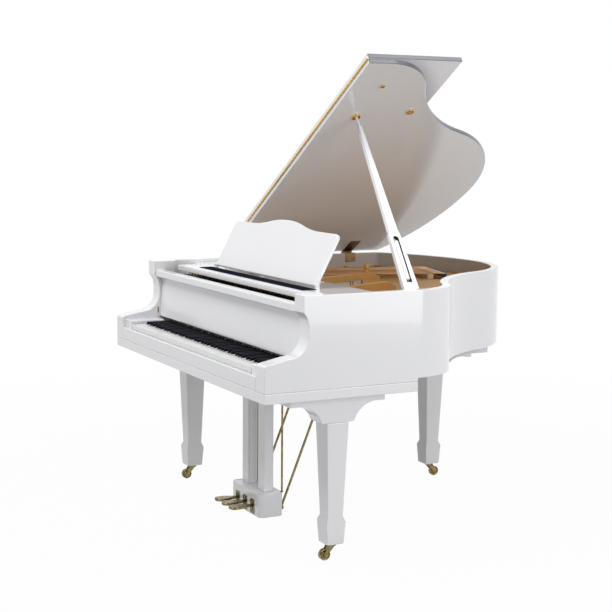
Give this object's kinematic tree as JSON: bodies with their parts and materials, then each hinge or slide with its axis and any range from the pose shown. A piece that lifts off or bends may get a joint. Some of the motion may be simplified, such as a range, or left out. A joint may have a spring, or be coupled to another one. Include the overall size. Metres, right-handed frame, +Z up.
{
  "type": "grand piano",
  "caption": "Small white grand piano with a propped lid, folded front flap, raised music desk, working keys, pedal lyre with pedals, and square tapered legs on swivelling casters.",
  "frame": {"origin": "centre of the bounding box on the floor", "axes": "+X towards the treble side, +Y from the keyboard towards the tail, +Z up"},
  "size_m": [1.5348, 1.52, 1.8351],
  "materials": {
    "white_polyester": "white polyester lacquer, polished",
    "rim_inside": "pale lacquer, polished",
    "bare_wood": "planed, satin",
    "spruce": "clear satin lacquer",
    "maple": "satin",
    "bronze_plate": "bronze paint, satin",
    "brass": "polished",
    "antique_brass": "lightly aged",
    "pin_steel": "nickel plated",
    "string_wire": "drawn wire",
    "key_white": "acrylic covered, polished",
    "key_black": "black, satin",
    "felt": "pressed felt",
    "damper_wood": "black lacquer, felt below",
    "ledge_black": "matt"
  },
  "bodies": {
    "case": {"outer_rim": "white_polyester", "inner_rim": "rim_inside", "keybed": "white_polyester", "key_slip": "white_polyester", "key_blocks": "white_polyester", "stretcher": "white_polyester", "soundboard": "spruce", "soundboard_ribs": "spruce", "under_beams": "bare_wood", "bridges": "maple", "iron_plate": "bronze_plate", "plate_bolts": "brass", "pin_block": "maple", "tuning_pins": "pin_steel", "strings": "string_wire", "legs": "white_polyester", "leg_brackets": "white_polyester", "lyre_frame": "white_polyester", "lyre_box": "white_polyester", "lyre_braces": "antique_brass", "prop_bracket": "brass", "lid_hinge_lower": "brass", "shelf_rails": "white_polyester"},
    "lid": {"lid_main": "white_polyester", "lid_hinge_upper": "brass", "flap_hinge_rear": "brass", "lid_fittings": "brass"},
    "flap": {"lid_flap": "white_polyester", "flap_hinge_front": "brass"},
    "prop": {"lid_prop": "white_polyester"},
    "half_stick": {"half_stick": "white_polyester"},
    "fallboard": {"fallboard": "white_polyester"},
    "shelf": {"music_shelf": "white_polyester", "ledge_strip": "ledge_black"},
    "desk": {"music_desk": "white_polyester"},
    "struts": {"desk_struts": "white_polyester"},
    "dampers": {"dampers": "damper_wood"},
    "key_frame": {"key_frame": "bare_wood", "hammers": "felt"},
    "natural_a_keys": {"natural_a_keys": "key_white"},
    "natural_b_keys": {"natural_b_keys": "key_white"},
    "natural_c_keys": {"natural_c_keys": "key_white"},
    "natural_d_keys": {"natural_d_keys": "key_white"},
    "natural_e_keys": {"natural_e_keys": "key_white"},
    "natural_f_keys": {"natural_f_keys": "key_white"},
    "natural_g_keys": {"natural_g_keys": "key_white"},
    "black_pair_keys": {"black_pair_keys": "key_black"},
    "black_triple_keys": {"black_triple_keys": "key_black"},
    "soft_pedal": {"soft_pedal": "antique_brass"},
    "soft_rod": {"soft_rod": "antique_brass"},
    "middle_pedal": {"middle_pedal": "antique_brass"},
    "middle_rod": {"middle_rod": "antique_brass"},
    "sustain_pedal": {"sustain_pedal": "antique_brass"},
    "sustain_rod": {"sustain_rod": "antique_brass"},
    "bass_caster_fork": {"bass_caster_fork": "antique_brass"},
    "bass_caster_wheel": {"bass_caster_wheel": "antique_brass"},
    "treble_caster_fork": {"treble_caster_fork": "antique_brass"},
    "treble_caster_wheel": {"treble_caster_wheel": "antique_brass"},
    "tail_caster_fork": {"tail_caster_fork": "antique_brass"},
    "tail_caster_wheel": {"tail_caster_wheel": "antique_brass"}
  },
  "joints": [
    {"name": "lid_hinge", "type": "hinge", "parent": "case", "child": "lid", "pos_m": [-0.761, 0, 0.987], "axis": [0, -1, 0], "range_deg": [0, 28]},
    {"name": "flap_hinge", "type": "hinge", "parent": "lid", "child": "flap", "pos_m": [-0.12429, -0.235, 1.41351], "axis": [0.8475, 0, 0.5308], "range_deg": [0, 180]},
    {"name": "prop_pivot", "type": "hinge", "parent": "case", "child": "prop", "pos_m": [0.668, -0.12, 0.962], "axis": [-0.5905, -0.7035, -0.3954], "range_deg": [0, 62]},
    {"name": "half_stick_pivot", "type": "hinge", "parent": "prop", "child": "half_stick", "pos_m": [0.6335, -0.12, 1.01352], "axis": [0, 1, 0], "range_deg": [0, 75]},
    {"name": "fallboard_hinge", "type": "hinge", "parent": "case", "child": "fallboard", "pos_m": [0, -0.574, 0.77], "axis": [1, 0, 0], "range_deg": [0, 93]},
    {"name": "shelf_slide", "type": "slide", "parent": "case", "child": "shelf", "axis": [0, 1, 0], "range_m": [-0.04, 0.02]},
    {"name": "desk_tilt", "type": "hinge", "parent": "shelf", "child": "desk", "pos_m": [0, -0.408, 0.9785], "axis": [-1, 0, 0], "range_deg": [0, 61.5]},
    {"name": "strut_fold", "type": "hinge", "parent": "desk", "child": "struts", "pos_m": [0, -0.33842, 1.07741], "axis": [1, 0, 0], "range_deg": [0, 124]},
    {"name": "soft_pedal_press", "type": "hinge", "parent": "case", "child": "soft_pedal", "pos_m": [-0.07, -0.442, 0.0595], "axis": [1, 0, 0], "range_deg": [0, 7.5]},
    {"name": "soft_rod_lift", "type": "slide", "parent": "case", "child": "soft_rod", "axis": [0, 0, 1], "range_m": [0, 0.0068]},
    {"name": "middle_pedal_press", "type": "hinge", "parent": "case", "child": "middle_pedal", "pos_m": [0, -0.442, 0.0595], "axis": [1, 0, 0], "range_deg": [0, 7.5], "stiffness_Nm_per_rad": 20, "springref_deg": -5.73},
    {"name": "middle_rod_lift", "type": "slide", "parent": "case", "child": "middle_rod", "axis": [0, 0, 1], "range_m": [0, 0.0068]},
    {"name": "sustain_pedal_press", "type": "hinge", "parent": "case", "child": "sustain_pedal", "pos_m": [0.07, -0.442, 0.0595], "axis": [1, 0, 0], "range_deg": [0, 7.5], "stiffness_Nm_per_rad": 20, "springref_deg": -5.73},
    {"name": "sustain_rod_lift", "type": "slide", "parent": "case", "child": "sustain_rod", "axis": [0, 0, 1], "range_m": [0, 0.0068]},
    {"name": "damper_lift", "type": "slide", "parent": "case", "child": "dampers", "axis": [0, 0, 1], "range_m": [0, 0.0068]},
    {"name": "key_shift", "type": "slide", "parent": "case", "child": "key_frame", "axis": [1, 0, 0], "range_m": [0, 0.00294], "stiffness_N_per_m": 5000, "springref_m": -0.006},
    {"name": "natural_a_keys_press", "type": "hinge", "parent": "key_frame", "child": "natural_a_keys", "pos_m": [0, -0.525, 0.6998], "axis": [1, 0, 0], "range_deg": [0, 2.6], "stiffness_Nm_per_rad": 10, "springref_deg": -5.73},
    {"name": "natural_b_keys_press", "type": "hinge", "parent": "key_frame", "child": "natural_b_keys", "pos_m": [0, -0.525, 0.6998], "axis": [1, 0, 0], "range_deg": [0, 2.6], "stiffness_Nm_per_rad": 10, "springref_deg": -5.73},
    {"name": "natural_c_keys_press", "type": "hinge", "parent": "key_frame", "child": "natural_c_keys", "pos_m": [0, -0.525, 0.6998], "axis": [1, 0, 0], "range_deg": [0, 2.6], "stiffness_Nm_per_rad": 10, "springref_deg": -5.73},
    {"name": "natural_d_keys_press", "type": "hinge", "parent": "key_frame", "child": "natural_d_keys", "pos_m": [0, -0.525, 0.6998], "axis": [1, 0, 0], "range_deg": [0, 2.6], "stiffness_Nm_per_rad": 10, "springref_deg": -5.73},
    {"name": "natural_e_keys_press", "type": "hinge", "parent": "key_frame", "child": "natural_e_keys", "pos_m": [0, -0.525, 0.6998], "axis": [1, 0, 0], "range_deg": [0, 2.6], "stiffness_Nm_per_rad": 10, "springref_deg": -5.73},
    {"name": "natural_f_keys_press", "type": "hinge", "parent": "key_frame", "child": "natural_f_keys", "pos_m": [0, -0.525, 0.6998], "axis": [1, 0, 0], "range_deg": [0, 2.6], "stiffness_Nm_per_rad": 10, "springref_deg": -5.73},
    {"name": "natural_g_keys_press", "type": "hinge", "parent": "key_frame", "child": "natural_g_keys", "pos_m": [0, -0.525, 0.6998], "axis": [1, 0, 0], "range_deg": [0, 2.6], "stiffness_Nm_per_rad": 10, "springref_deg": -5.73},
    {"name": "black_pair_keys_press", "type": "hinge", "parent": "key_frame", "child": "black_pair_keys", "pos_m": [0, -0.525, 0.6998], "axis": [1, 0, 0], "range_deg": [0, 2.6], "stiffness_Nm_per_rad": 10, "springref_deg": -5.73},
    {"name": "black_triple_keys_press", "type": "hinge", "parent": "key_frame", "child": "black_triple_keys", "pos_m": [0, -0.525, 0.6998], "axis": [1, 0, 0], "range_deg": [0, 2.6], "stiffness_Nm_per_rad": 10, "springref_deg": -5.73},
    {"name": "bass_caster_swivel", "type": "hinge", "parent": "case", "child": "bass_caster_fork", "pos_m": [-0.661, -0.443, 0.058], "axis": [0, 0, 1], "continuous": true},
    {"name": "bass_caster_roll", "type": "hinge", "parent": "bass_caster_fork", "child": "bass_caster_wheel", "pos_m": [-0.661, -0.471, 0.0215], "axis": [1, 0, 0], "continuous": true},
    {"name": "treble_caster_swivel", "type": "hinge", "parent": "case", "child": "treble_caster_fork", "pos_m": [0.661, -0.443, 0.058], "axis": [0, 0, 1], "continuous": true},
    {"name": "treble_caster_roll", "type": "hinge", "parent": "treble_caster_fork", "child": "treble_caster_wheel", "pos_m": [0.661, -0.471, 0.0215], "axis": [1, 0, 0], "continuous": true},
    {"name": "tail_caster_swivel", "type": "hinge", "parent": "case", "child": "tail_caster_fork", "pos_m": [-0.229, 0.54, 0.058], "axis": [0, 0, 1], "continuous": true},
    {"name": "tail_caster_roll", "type": "hinge", "parent": "tail_caster_fork", "child": "tail_caster_wheel", "pos_m": [-0.229, 0.568, 0.0215], "axis": [1, 0, 0], "continuous": true}
  ],
  "couplings": [
    {"joint": "strut_fold", "follows": "desk_tilt", "ratio": 2},
    {"joint": "middle_rod_lift", "follows": "middle_pedal_press", "m_per_rad": 0.05},
    {"joint": "sustain_rod_lift", "follows": "sustain_pedal_press", "m_per_rad": 0.05},
    {"joint": "damper_lift", "follows": "sustain_pedal_press", "m_per_rad": 0.05},
    {"joint": "soft_pedal_press", "follows": "key_shift", "rad_per_m": 44.444},
    {"joint": "soft_rod_lift", "follows": "key_shift", "ratio": 2.2222}
  ]
}
